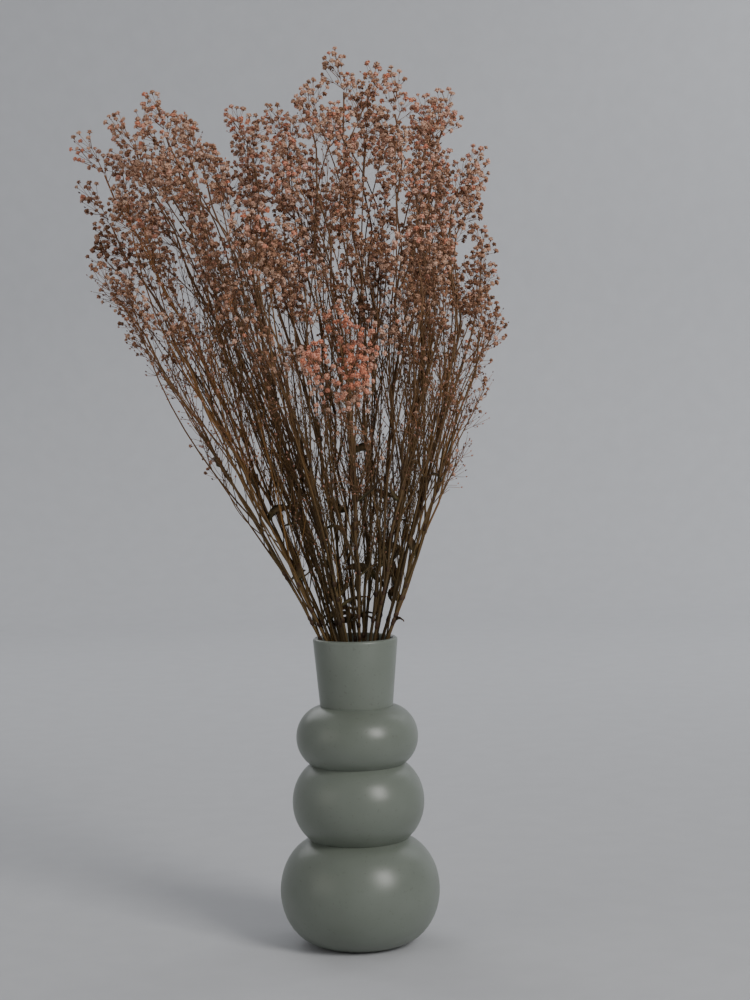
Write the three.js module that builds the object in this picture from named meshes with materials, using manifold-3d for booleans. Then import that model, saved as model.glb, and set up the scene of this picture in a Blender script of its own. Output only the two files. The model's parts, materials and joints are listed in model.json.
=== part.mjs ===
// A sage stoneware vase of three stacked bulbs, holding a bunch of dried gypsophila.
// Millimetres, +Z up. The origin is the centre of the vase's flat base.
// Each spray is one solid: a cut stem, its side shoots, twigs, leaves and florets.
// The florets are fewer and larger than on the real plant and stand where its small clusters are.

import * as THREE from 'three';
import { mergeVertices } from 'three/addons/utils/BufferGeometryUtils.js';
import Module from 'manifold-3d';

const wasm = await Module();
wasm.setup();

// Vase
const vaseHeight = 250;
const wall = 4.4;
const floorThickness = 6;
const rimRadius = 34.3;
const neckBaseRadius = 29.5;
const lathSides = 26;
// Each bulb is an ellipse turned about the axis: core is the radius of its centre line.
const bulbs = [
  { core: 29.1, depth: 35.8, half: 44.1, z: 43.9 },
  { core: 22.7, depth: 30.9, half: 35.9, z: 116.1 },
  { core: 25.4, depth: 24.1, half: 25.8, z: 169.1 },
];
const creaseHeights = [86, 147.2];
const shoulderAngle = 80;
const lowestSteps = 7;
const outerSteps = 5;
const innerSteps = 2;
const innerArc = 48;
const innerFloorShare = 0.3;
const lipSteps = 3;

// Bunch
const spread = 62;
const lean = 0.044;
const curl = 0.0002;
const waistDrop = 35;
const footWidening = 0.25;
const footTurn = 50;
const outlineRadius = 31;
const outlineWidest = 250;
const outlineRise = 228;
const stemClearance = 0.3;
const stemRadius = 1.6;
const stemTipRadius = 1;
const crownLength = 46;
const stemFractions = [0.19, 0.42, 0.7, 1];
const shootRadius = 0.8;
const twigRadius = 0.6;
const rootRadius = 0.35;
const firstShoot = 0.53;
const shootStep = 0.108;
const shootCount = 5;
const shortCount = 3;
const twigCount = 2;
const touchCost = 12;
const sideTries = 8;
const lengthShares = [1, 0.78, 0.58];
const shortRise = 230;
const longestShoot = 125;
const shootAngle = 24;
const topShootAngle = 44;
const shootBase = 46;
const shootBend = 0.25;
const floretRadius = 5.6;
const floretPitch = 9;
const floretSwing = 7;
const swingTurn = 130;
const floretTwist = 60;
const neckSwing = 0.3;
const betweenSwing = 0.4;
const crownFlorets = 3;
const shootFlorets = 5;
const twigFlorets = 4;
const easeFactor = 0.82;
const easeSteps = 5;
const cellMargin = 0.5;
const leafLength = 22;
const leafHalfWidth = 2.2;
const leafHalfThickness = 0.45;
const leafFraction = 0.12;
const leafEvery = 2;
const leafSeed = 500;
// Steps along a leaf and its width at each, as shares of its length and of its greatest width.
const leafOutline = [[0, 0.4], [0.4, 1], [0.75, 0.7], [1, 0]];
// A seeded draw picks each of these from between its two ends.
const shootShift = [-0.025, 0.025];
const shootExtraAngle = [0, 6];
const shootReach = [0.36, 0.5];
const floretShare = [0.9, 1.1];
const twigPlace = [0.35, 0.75];
const twigAngle = [44, 60];
const twigLength = [38, 48];
const leafPlace = [0.8, 1.3];
const leafShare = [0.8, 1.2];
const leafAngle = [28, 53];
const joinTolerance = 0.03;
const weld = 1e-5;
const finest = 0.01;
const bunchSeed = 8;

// Where the tip of each spray stands, x to the right, y to the back, z up from the base.
const sprayTips = {
  spray_left_outer: [-210, 10, 654],
  spray_left_peak: [-152, -15, 684],
  spray_left_back: [-188, 58, 676],
  spray_left_shoulder: [-122, -62, 654],
  spray_left_middle: [-212, 48, 618],
  spray_left_low: [-198, -8, 550],
  spray_left_low_front: [-152, -62, 518],
  spray_left_far_back: [-160, 108, 644],
  spray_dip_left: [-88, 22, 676],
  spray_dip_back: [-118, 100, 654],
  spray_centre_left: [-58, 62, 682],
  spray_front_left: [-80, -92, 580],
  spray_front_centre: [-6, -98, 514],
  spray_front_high: [-30, -56, 676],
  spray_top: [-6, 6, 716],
  spray_top_back: [10, 98, 702],
  spray_top_right: [42, -38, 692],
  spray_right_peak: [82, 26, 686],
  spray_right_outer: [116, -8, 636],
  spray_right_back: [78, 92, 650],
  spray_right_front: [62, -84, 574],
  spray_right_middle: [106, 66, 572],
  spray_right_low: [114, -44, 522],
  spray_right_lowest: [98, 8, 448],
};

const vaseColour = 0xa5afa2;
const sprayColour = 0xb9795f;
const vaseRoughness = 0.5;
const sprayRoughness = 0.9;

const degrees = Math.PI / 180;
const sweepSide = new THREE.Vector3(0.31, 0.87, 0.38).normalize();
const vector = (x, y, z) => new THREE.Vector3(x, y, z);
const between = ([low, high], share) => low + (high - low) * share;

// A seeded draw from 0 to 1, the same for every run.
function draws(seed) {
  let state = seed >>> 0;
  return () => {
    state = (Math.imul(state, 1664525) + 1013904223) >>> 0;
    return state / 4294967296;
  };
}

// Points of a bulb's outline between two angles, its wall drawn in by inset.
function bulbArc(bulb, from, to, steps, inset = 0) {
  const points = [];
  for (let step = 0; step <= steps; step += 1) {
    const angle = from + ((to - from) * step) / steps;
    const radius = bulb.core + (bulb.depth - inset) * Math.cos(angle);
    points.push(new THREE.Vector2(radius, bulb.z + (bulb.half - inset) * Math.sin(angle)));
  }
  return points;
}

function bulbAngle(bulb, z) {
  return Math.asin((z - bulb.z) / bulb.half);
}

// The outline runs up the outside, over the lip and down the inside to the floor.
function vaseProfile() {
  const [low, middle, high] = bulbs;
  const [lowCrease, highCrease] = creaseHeights;
  const shoulder = shoulderAngle * degrees;
  const outside = [
    new THREE.Vector2(0, 0),
    ...bulbArc(low, bulbAngle(low, 0), bulbAngle(low, lowCrease), lowestSteps),
    ...bulbArc(middle, bulbAngle(middle, lowCrease), bulbAngle(middle, highCrease), outerSteps).slice(1),
    ...bulbArc(high, bulbAngle(high, highCrease), shoulder, outerSteps).slice(1),
  ];
  outside[1].y = 0;
  const lip = [];
  const lipRadius = wall / 2;
  for (let step = 0; step <= lipSteps; step += 1) {
    const angle = (Math.PI * step) / lipSteps;
    const radius = rimRadius - lipRadius + lipRadius * Math.cos(angle);
    lip.push(new THREE.Vector2(radius, vaseHeight - lipRadius + lipRadius * Math.sin(angle)));
  }
  const creaseRadius = (bulb, z) => bulb.core + bulb.depth * Math.cos(bulbAngle(bulb, z)) - wall;
  const arc = innerArc * degrees;
  const inside = [
    new THREE.Vector2(neckBaseRadius - wall, high.z + high.half - wall),
    ...bulbArc(high, arc, -arc, innerSteps, wall),
    new THREE.Vector2(creaseRadius(high, highCrease), highCrease),
    ...bulbArc(middle, arc, -arc, innerSteps, wall),
    new THREE.Vector2(creaseRadius(low, lowCrease), lowCrease),
    ...bulbArc(low, arc, -arc, innerSteps, wall),
    new THREE.Vector2(low.core + (low.depth - wall) * innerFloorShare, floorThickness),
    new THREE.Vector2(0, floorThickness),
  ];
  return [...outside, ...lip, ...inside];
}

function makeVase() {
  const geometry = new THREE.LatheGeometry(vaseProfile(), lathSides);
  geometry.rotateX(Math.PI / 2);
  return geometry;
}

// How far the bunch has opened at a height above the mouth, and how far it has turned.
function opening(height) {
  if (height >= 0) return { size: 1 + height / spread, turn: 0 };
  if (height >= -waistDrop) {
    return { size: 1 + height / spread + height ** 2 / (2 * spread * waistDrop), turn: 0 };
  }
  const depth = (-waistDrop - height) / (vaseHeight - floorThickness - waistDrop);
  const waist = 1 - waistDrop / (2 * spread);
  return { size: waist * (1 + footWidening * depth), turn: footTurn * degrees * depth };
}

// The middle of the bunch drifts to the left as it rises.
function drift(height) {
  return -lean * Math.max(height, -waistDrop) - curl * Math.max(height, 0) ** 2;
}

// The stem's place at a height: its place in the mouth, opened, turned and drifted.
function stemPoint(stem, height) {
  const { size, turn } = opening(height);
  const x = size * (stem.x * Math.cos(turn) - stem.y * Math.sin(turn));
  const y = size * (stem.x * Math.sin(turn) + stem.y * Math.cos(turn));
  return vector(drift(height) + x, y, vaseHeight + height);
}

function makeStem([x, y, z]) {
  const rise = z - vaseHeight;
  const { size } = opening(rise);
  const bare = rise - crownLength;
  const stem = { x: (x - drift(rise)) / size, y: y / size, rise, bare };
  const foot = floorThickness + stemClearance - vaseHeight;
  stem.heights = [foot, -waistDrop, 0, ...stemFractions.map((part) => part * bare)];
  stem.points = stem.heights.map((height) => stemPoint(stem, height));
  stem.axis = [...stem.points, stemPoint(stem, rise)];
  return stem;
}

// A point on the straight lengths that the stem is made of, and the direction there.
function onStem(stem, height) {
  const above = Math.max(1, stem.heights.findIndex((top) => top >= height));
  const [from, to] = [stem.points[above - 1], stem.points[above]];
  const share = (height - stem.heights[above - 1]) / (stem.heights[above] - stem.heights[above - 1]);
  return { root: from.clone().lerp(to, share), along: to.clone().sub(from).normalize() };
}

const segment = new THREE.Line3();
const nearest = new THREE.Vector3();

function distanceToPath(path, point) {
  let least = Infinity;
  for (let index = 1; index < path.length; index += 1) {
    segment.set(path[index - 1], path[index]);
    segment.closestPointToPoint(point, true, nearest);
    least = Math.min(least, nearest.distanceTo(point));
  }
  return least;
}

// How far from the middle of the bunch a height may be filled, measured back at the mouth.
function outline(height) {
  const above = Math.max(0, height - outlineWidest) / outlineRise;
  return outlineRadius * Math.sqrt(Math.max(0, 1 - above ** 2));
}

// Whether a ball on one stem's shoot keeps inside the bunch's outline and out of the space that
// is nearer to any other stem.
function isClear(stems, own, point, radius) {
  const height = point.z - vaseHeight;
  const { size } = opening(height);
  if (Math.hypot(point.x - drift(height), point.y) / size > outline(height + radius)) return false;
  const reach = distanceToPath(own.axis, point);
  const others = stems.filter((stem) => stem !== own);
  return others.every((stem) => distanceToPath(stem.axis, point) - reach >= 2 * (radius + cellMargin));
}

// A closed body swept along points: each ring has a radius, and the last point is its tip.
function sweep({ points, radii, twists }, count = 3, flatness = 1) {
  const spans = points.length - 1;
  const geometry = new THREE.ConeGeometry(1, 1, count, spans);
  geometry.deleteAttribute('normal');
  geometry.deleteAttribute('uv');
  const place = geometry.getAttribute('position');
  const local = vector(0, 0, 0);
  for (let index = 0; index < place.count; index += 1) {
    local.fromBufferAttribute(place, index);
    const ring = Math.round((local.y + 0.5) * spans);
    const ahead = points[Math.min(ring + 1, spans)];
    const along = ahead.clone().sub(points[Math.max(ring - 1, 0)]).normalize();
    const across = sweepSide.clone().cross(along).normalize();
    const over = along.clone().cross(across);
    const onAxis = Math.hypot(local.x, local.z) < weld;
    const angle = Math.atan2(local.x, local.z) + twists[ring];
    const radius = onAxis ? 0 : radii[ring];
    const target = points[ring].clone();
    target.addScaledVector(across, radius * Math.cos(angle));
    target.addScaledVector(over, radius * Math.sin(angle) * flatness);
    place.setXYZ(index, target.x, target.y, target.z);
  }
  return mergeVertices(geometry, weld);
}

function solid(geometry) {
  const vertProperties = new Float32Array(geometry.getAttribute('position').array);
  const triVerts = new Uint32Array(geometry.getIndex().array);
  const mesh = new wasm.Mesh({ numProp: 3, vertProperties, triVerts, tolerance: joinTolerance });
  return new wasm.Manifold(mesh);
}

// The rings of a shoot that ends in a cluster: florets swing round it, one after another. Each ring
// past the first neck is turned back from the one below it, so that its faces don't cross.
function clusterRings(length, florets, radius, neckRadius) {
  const first = length - floretPitch * (florets - 1) - radius / 2;
  const rings = [
    { along: 0, radius: rootRadius, swing: 0, turn: 0 },
    { along: first - radius, radius: neckRadius, swing: neckSwing, turn: 0 },
  ];
  for (let floret = 0; floret < florets; floret += 1) {
    const turn = swingTurn * degrees * floret;
    const along = first + floretPitch * floret;
    if (floret > 0) {
      const neck = { radius: neckRadius, swing: betweenSwing };
      rings.push({ ...neck, along: along - floretPitch / 2, turn: turn - (swingTurn * degrees) / 2 });
    }
    rings.push({ along, radius, swing: 1, turn });
  }
  const last = rings.at(-1);
  rings.push({ ...last, along: length + radius / 2, radius: 0 });
  return rings.map((ring, index) => ({ ...ring, twist: -floretTwist * degrees * Math.max(0, index - 1) }));
}

// Directions across a shoot's parent: out towards a side, and sideways.
function sides(along, turn) {
  const across = vector(0, 1, 0).cross(along).normalize();
  const over = along.clone().cross(across);
  const out = across.clone().multiplyScalar(Math.cos(turn)).addScaledVector(over, Math.sin(turn));
  return { out, sideways: along.clone().cross(out) };
}

// A shoot leaves its parent at an angle and turns back towards it as it grows.
function shootPoints(shoot, ease) {
  const { root, along, angle, turn, rings } = shoot;
  const { out, sideways } = sides(along, turn);
  const length = rings.at(-1).along;
  return rings.map((ring) => {
    const outward = ring.along * Math.sin(angle * ease) * (1 - shootBend * (ring.along / length));
    const swing = floretSwing * ring.swing * Math.sqrt(ease);
    const point = root.clone().addScaledVector(along, ring.along * Math.cos(angle * ease));
    point.addScaledVector(out, outward + swing * Math.cos(ring.turn));
    return point.addScaledVector(sideways, swing * Math.sin(ring.turn));
  });
}

// Eases a shoot in towards its parent until it is clear of the other sprays, or drops it.
function grown(stems, own, shoot) {
  for (let step = 0; step < easeSteps; step += 1) {
    const ease = easeFactor ** step;
    const points = shootPoints(shoot, ease);
    const radii = shoot.rings.map((ring) => ring.radius);
    const clear = points.every((point, index) => index === 0 || isClear(stems, own, point, radii[index]));
    if (clear) return { ease, points, radii, twists: shoot.rings.map((ring) => ring.twist) };
  }
  return null;
}

function floretPoints(shoot) {
  return shoot.points.filter((point, index) => shoot.radii[index] > floretRadius / 2);
}

// The middle of the cluster at a shoot's end.
function clusterMiddle(shoot) {
  const florets = floretPoints(shoot);
  const sum = florets.reduce((total, point) => total.add(point), vector(0, 0, 0));
  return sum.divideScalar(florets.length);
}

// How many florets of either shoot touch the other.
function touches(shoot, other) {
  const isNear = (path) => (point) => distanceToPath(path, point) < floretRadius;
  const onOther = floretPoints(shoot).filter(isNear(other.points));
  return onOther.length + floretPoints(other).filter(isNear(shoot.points)).length;
}

// Of several sides and lengths, the one whose cluster stands furthest from those already placed
// and touches least of its own spray.
function bestGrown(stems, own, shoot, shoots, taken) {
  let best = null;
  for (const share of lengthShares) {
    const rings = clusterRings(shoot.length * share, shoot.florets, shoot.size, shoot.neckRadius);
    for (let index = 0; index < sideTries; index += 1) {
      const turn = shoot.turn + (2 * Math.PI * index) / sideTries;
      const choice = grown(stems, own, { ...shoot, rings, turn });
      if (!choice) continue;
      choice.middle = clusterMiddle(choice);
      const touching = shoots.reduce((total, other) => total + touches(choice, other), 0);
      choice.room = Math.min(...taken.map((other) => choice.middle.distanceTo(other)));
      choice.room -= touching * touchCost;
      if (!best || choice.room > best.room) best = choice;
    }
  }
  if (best) taken.push(best.middle);
  return best;
}

// The stem itself, with the florets at its tip.
function growStem(own) {
  const crown = clusterRings(crownLength, crownFlorets, floretRadius, stemTipRadius).slice(1);
  const crownPoints = crown.map((ring) => {
    const point = stemPoint(own, own.bare + ring.along);
    point.x += floretSwing * ring.swing * Math.cos(ring.turn);
    point.y += floretSwing * ring.swing * Math.sin(ring.turn);
    return point;
  });
  const taper = own.points.map((point, index) => {
    return between([stemRadius, stemTipRadius], index / own.points.length);
  });
  return {
    points: [...own.points, ...crownPoints],
    radii: [...taper, ...crown.map((ring) => ring.radius)],
    twists: [...taper.map(() => 0), ...crown.map((ring) => ring.twist)],
  };
}

// Everything that one stem carries: side shoots up the stem, and a twig on the lower ones.
function growSpray(stems, own, seed, taken) {
  const draw = draws(seed);
  const shoots = [growStem(own)];
  const count = own.rise > shortRise ? shootCount : shortCount;
  for (let index = 0; index < count; index += 1) {
    const height = own.bare * (firstShoot + shootStep * index + between(shootShift, draw()));
    const opened = between([shootAngle, topShootAngle], index / (shootCount - 1));
    const shoot = bestGrown(stems, own, {
      ...onStem(own, height),
      angle: (opened + between(shootExtraAngle, draw())) * degrees,
      turn: 2 * Math.PI * draw(),
      length: Math.min(longestShoot, shootBase + (own.rise - height) * between(shootReach, draw())),
      florets: shootFlorets,
      size: floretRadius * between(floretShare, draw()),
      neckRadius: shootRadius,
    }, shoots, taken);
    const [place, angle, turn, length, size] = [draw(), draw(), draw(), draw(), draw()];
    if (shoot === null) continue;
    shoots.push(shoot);
    if (index >= twigCount) continue;
    const [root, neck] = shoot.points;
    const twig = bestGrown(stems, own, {
      root: root.clone().lerp(neck, between(twigPlace, place)),
      along: neck.clone().sub(root).normalize(),
      angle: between(twigAngle, angle) * degrees,
      turn: 2 * Math.PI * turn,
      length: between(twigLength, length),
      florets: twigFlorets,
      size: floretRadius * between(floretShare, size),
      neckRadius: twigRadius,
    }, shoots, taken);
    if (twig) shoots.push(twig);
  }
  return shoots;
}

// A narrow dried leaf on the bare part of the stem.
function growLeaf(stems, own, seed) {
  const draw = draws(seed + leafSeed);
  const height = own.bare * leafFraction * between(leafPlace, draw());
  const length = leafLength * between(leafShare, draw());
  const rings = leafOutline.map(([step, width]) => ({
    along: step * length, radius: width * leafHalfWidth, swing: 0, turn: 0, twist: 0,
  }));
  const angle = between(leafAngle, draw()) * degrees;
  return grown(stems, own, { ...onStem(own, height), angle, turn: 2 * Math.PI * draw(), rings });
}

function makeSpray(stems, own, seed, taken) {
  const bodies = growSpray(stems, own, seed, taken).map((shoot) => sweep(shoot));
  const leaf = seed % leafEvery === 0 ? growLeaf(stems, own, seed) : null;
  if (leaf) bodies.push(sweep(leaf, 4, leafHalfThickness / leafHalfWidth));
  return tidied(bodies.map(solid).reduce((whole, body) => whole.add(body)));
}

// The fused body as a geometry, its points rounded and the faces that this closes up left out.
function tidied(body) {
  const mesh = body.getMesh();
  const points = Array.from(mesh.vertProperties, (value) => Math.round(value / finest) * finest);
  const rounded = new THREE.BufferGeometry();
  rounded.setAttribute('position', new THREE.Float32BufferAttribute(points, 3));
  rounded.setIndex(Array.from(mesh.triVerts));
  const geometry = mergeVertices(rounded, finest / 4);
  const corners = geometry.getIndex().array;
  const kept = [];
  for (let face = 0; face < corners.length; face += 3) {
    const [a, b, c] = corners.slice(face, face + 3);
    if (a !== b && b !== c && c !== a) kept.push(a, b, c);
  }
  geometry.setIndex(kept);
  return geometry;
}

const object = new THREE.Group();

function addMesh(name, geometry, colour, roughness) {
  const material = new THREE.MeshStandardMaterial({ color: colour, roughness, metalness: 0 });
  const mesh = new THREE.Mesh(geometry, material);
  mesh.name = name;
  object.add(mesh);
}

addMesh('vase', makeVase(), vaseColour, vaseRoughness);

const stems = Object.values(sprayTips).map(makeStem);
const taken = stems.map((stem) => stem.axis.at(-1));
Object.keys(sprayTips).forEach((name, index) => {
  addMesh(name, makeSpray(stems, stems[index], bunchSeed + index, taken), sprayColour, sprayRoughness);
});

export default object;
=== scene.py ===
# %% [markdown]
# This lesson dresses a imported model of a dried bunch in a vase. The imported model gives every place
# and size. It is plain on purpose, so each spray and the vase get a finer piece that stands for it.
# Everything is worked out in millimetres, and turned into Blender's metres when a mesh is made.

import json
import math

import bpy
import numpy as np
from mathutils import Matrix, Vector

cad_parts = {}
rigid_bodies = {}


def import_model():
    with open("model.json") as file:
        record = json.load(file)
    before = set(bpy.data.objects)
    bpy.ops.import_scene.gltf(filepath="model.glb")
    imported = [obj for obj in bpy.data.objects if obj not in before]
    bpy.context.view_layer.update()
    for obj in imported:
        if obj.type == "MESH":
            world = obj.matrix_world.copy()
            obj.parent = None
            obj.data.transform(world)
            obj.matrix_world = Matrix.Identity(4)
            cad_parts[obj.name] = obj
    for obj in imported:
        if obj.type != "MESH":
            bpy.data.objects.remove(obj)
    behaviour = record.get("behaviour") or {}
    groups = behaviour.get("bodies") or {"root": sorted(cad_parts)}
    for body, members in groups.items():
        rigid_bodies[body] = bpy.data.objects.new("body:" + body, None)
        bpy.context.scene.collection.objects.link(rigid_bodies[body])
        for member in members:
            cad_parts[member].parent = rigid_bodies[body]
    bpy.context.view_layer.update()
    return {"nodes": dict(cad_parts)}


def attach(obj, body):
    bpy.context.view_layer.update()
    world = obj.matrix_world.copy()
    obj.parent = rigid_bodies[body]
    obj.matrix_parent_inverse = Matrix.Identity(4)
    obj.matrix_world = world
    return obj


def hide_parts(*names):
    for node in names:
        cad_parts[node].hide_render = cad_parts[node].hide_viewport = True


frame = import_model()
MM = 0.001
UP = np.array([0.0, 0.0, 1.0])
print("packed nodes:", len(frame["nodes"]))

# %% [markdown]
# A mesh in Blender is a list of points and a list of faces. Adding faces one at a time is slow, so
# this helper takes whole arrays and hands them over with foreach_set. Each shape is a triple of
# points, lists of faces, and one UV place for each point, and shapes are joined by counting on.


# %% From arrays to a mesh
def merge(shapes):
    """Joins shapes (points, [faces, ...], uv): each shape's faces count on from the points so far."""
    points, faces, uvs, start = [], [], [], 0
    for place, groups, uv in shapes:
        points.append(place)
        uvs.append(uv)
        faces += [group + start for group in groups]
        start += len(place)
    return np.concatenate(points), faces, np.concatenate(uvs)


def make_piece(name, shape, material, replaces=(), smooth=True):
    """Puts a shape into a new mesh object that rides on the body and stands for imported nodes."""
    points, faces, uv = shape
    corners = np.concatenate([group.ravel() for group in faces])
    counts = np.concatenate([np.full(len(group), group.shape[1]) for group in faces])
    mesh = bpy.data.meshes.new(name)
    mesh.vertices.add(len(points))
    mesh.vertices.foreach_set("co", (points * MM).astype(np.float32).ravel())
    mesh.loops.add(len(corners))
    mesh.loops.foreach_set("vertex_index", corners.astype(np.int32))
    mesh.polygons.add(len(counts))
    mesh.polygons.foreach_set("loop_start", (np.cumsum(counts) - counts).astype(np.int32))
    mesh.polygons.foreach_set("use_smooth", np.full(len(counts), smooth))
    layer = mesh.uv_layers.new(name="OFBake")
    layer.data.foreach_set("uv", uv[corners].astype(np.float32).ravel())
    mesh.update(calc_edges=True)
    mesh.validate()
    mesh.materials.append(material)
    piece = bpy.data.objects.new(name, mesh)
    bpy.context.scene.collection.objects.link(piece)
    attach(piece, "root")
    if replaces:
        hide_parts(*replaces)
    return piece, int((counts - 2).sum())


print("one millimetre is", MM, "of Blender's metres")


# %% [markdown]
# Stems, shoots, pedicels and leaves are all one idea: a ring carried along a path. Rings stand
# square to the path. With many paths in one array, a whole spray's twigs are made in one go.


# %% A ring carried along many paths
SIDEWAYS = np.array([0.31, 0.87, 0.38]) / np.linalg.norm([0.31, 0.87, 0.38])
STRIP = 0.02  # the width of one body's strip on the map


def unit(vectors):
    """Vectors of length one."""
    return vectors / np.linalg.norm(vectors, axis=-1, keepdims=True)


def crossways(along):
    """Two directions square to each other and to along: sideways x along, and along x the first."""
    across = unit(np.cross(SIDEWAYS, along))
    return across, np.cross(along, across)


def tubes(paths, radii, sides, u, v):
    """Closed bodies along paths of the same number of points. A ring's point is
    centre + radius (cos a across + sin a over). UV: u for each body, folded once round it, and v
    for each ring."""
    count, rings, _ = paths.shape
    along = unit(np.gradient(paths, axis=1))
    across, over = crossways(along)
    angle = 2 * np.pi * np.arange(sides) / sides
    ring = np.cos(angle)[:, None] * across[:, :, None] + np.sin(angle)[:, None] * over[:, :, None]
    points = paths[:, :, None] + radii[:, :, None, None] * ring
    index = np.arange(count * rings * sides).reshape(count, rings, sides)
    after = np.roll(index, -1, axis=2)
    walls = np.stack([index[:, :-1], after[:, :-1], after[:, 1:], index[:, 1:]], -1)
    ends = np.concatenate([index[:, 0, ::-1], index[:, -1]])
    folded = np.abs(2 * np.arange(sides) / sides - 1)
    uv = np.empty((count, rings, sides, 2))
    uv[..., 0] = u[:, None, None] + STRIP * (folded - 0.5)
    uv[..., 1] = v[:, :, None]
    return points.reshape(-1, 3), [walls.reshape(-1, 4), ends], uv.reshape(-1, 2)


print("a direction that no stem follows:", SIDEWAYS.round(2))

# %% [markdown]
# The vase is three soft bulbs and a straight neck. A potter throws such a shape on a wheel, and a
# lathe surface is the same act: one outline, turned round the axis. The outline is arcs of
# ellipses, so that each bulb stays round at any number of steps. It runs up the outside, over
# the lip and down the inside, so that the wall has its real thickness.

# %% The vase's outline
VASE_HEIGHT = 250.0
WALL = 4.4
FLOOR = 6.0
RIM_RADIUS = 34.3
NECK_BASE = 29.5
BULBS = [  # core radius, depth beyond it, half height, height of the middle
    (29.1, 35.8, 44.1, 43.9),
    (22.7, 30.9, 35.9, 116.1),
    (25.4, 24.1, 25.8, 169.1),
]
CREASES = (86.0, 147.2)
SHOULDER = math.radians(80)
INNER_SHOULDER = SHOULDER * 0.9
ARC_STEPS = 22
LIP_STEPS = 10
ROUND_STEPS = 144


def arc(bulb, start, end, inset=0.0):
    """A bulb's outline: r = core + (depth - inset) cos a, z = middle + (half - inset) sin a."""
    core, depth, half, middle = bulb
    angle = np.linspace(start, end, ARC_STEPS + 1)
    return np.stack([core + (depth - inset) * np.cos(angle),
                     middle + (half - inset) * np.sin(angle)], 1)


def angle_at(bulb, z, inset=0.0):
    """The angle at which a bulb's outline passes a height."""
    return math.asin(max(-1.0, min(1.0, (z - bulb[3]) / (bulb[2] - inset))))


low, middle, high = BULBS
outside = np.vstack([
    arc(low, angle_at(low, 0), angle_at(low, CREASES[0])),
    arc(middle, angle_at(middle, CREASES[0]), angle_at(middle, CREASES[1]))[1:],
    arc(high, angle_at(high, CREASES[1]), SHOULDER)[1:],
])
outside[0, 1] = 0.0
turn = np.linspace(0, np.pi, LIP_STEPS + 1)
lip = np.stack([RIM_RADIUS - WALL / 2 + WALL / 2 * np.cos(turn),
                VASE_HEIGHT - WALL / 2 + WALL / 2 * np.sin(turn)], 1)
inside = np.vstack([
    [[NECK_BASE - WALL, high[3] + high[2] - WALL]],
    arc(high, INNER_SHOULDER, angle_at(high, CREASES[1], WALL), WALL),
    arc(middle, angle_at(middle, CREASES[1], WALL), angle_at(middle, CREASES[0], WALL), WALL),
    arc(low, angle_at(low, CREASES[0], WALL), angle_at(low, FLOOR, WALL), WALL),
])
inside = inside[inside[:, 1] > FLOOR - 1e-6]
outline = np.vstack([outside, lip, inside])
print("vase outline:", len(outline), "points, widest", round(outline[:, 0].max() * 2, 1), "mm")

# %% [markdown]
# Turning the outline needs care at the two poles, under the base and on the inner floor. A fan of
# triangles to one middle point closes each of them.

# %% Turn the outline into the vase
ROUND_MARGIN, UP_MARGIN = 0.02, 0.05  # kept clear at the map's edges


def lathe(profile, steps):
    """x = r sin a, y = -r cos a, z, for every outline point and every angle, with both ends closed."""
    rings = len(profile)
    angle = 2 * np.pi * np.arange(steps) / steps
    ring = np.stack([np.sin(angle), -np.cos(angle)], 1)
    points = np.empty((rings, steps, 3))
    points[..., :2] = profile[:, None, :1] * ring
    points[..., 2] = profile[:, 1:]
    index = np.arange(rings * steps).reshape(rings, steps)
    after = np.roll(index, -1, axis=1)
    walls = np.stack([index[:-1], after[:-1], after[1:], index[1:]], -1).reshape(-1, 4)
    first, last = rings * steps, rings * steps + 1
    base = np.stack([np.full(steps, first), after[0], index[0]], 1)
    floor = np.stack([np.full(steps, last), index[-1], after[-1]], 1)
    poles = np.array([[0, 0, profile[0, 1]], [0, 0, profile[-1, 1]]])
    length = np.concatenate([[0], np.cumsum(np.linalg.norm(np.diff(profile, axis=0), axis=1))])
    length = UP_MARGIN + (1 - 2 * UP_MARGIN) * length / length[-1]
    uv = np.empty((rings, steps, 2))
    folded = np.abs(2 * np.arange(steps) / steps - 1)
    uv[..., 0] = ROUND_MARGIN + (1 - 2 * ROUND_MARGIN) * folded
    uv[..., 1] = length[:, None]
    uv = np.concatenate([uv.reshape(-1, 2), [[0.5, 0.01], [0.5, 0.99]]])
    return np.concatenate([points.reshape(-1, 3), poles]), [walls, base, floor], uv


vase_shape = lathe(outline, ROUND_STEPS)
print("points in the vase's mesh:", len(vase_shape[0]))

# %% [markdown]
# The bunch is grown, not placed by hand. Each stem has a place in the vase's mouth and fans out
# as it rises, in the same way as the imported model's stems. Its side shoots try several sides and
# lengths and keep the one with the most room, as real sprays fill the light. The rule and its
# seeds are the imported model's own, so the fine sprays stand where its plain ones do.

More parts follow.
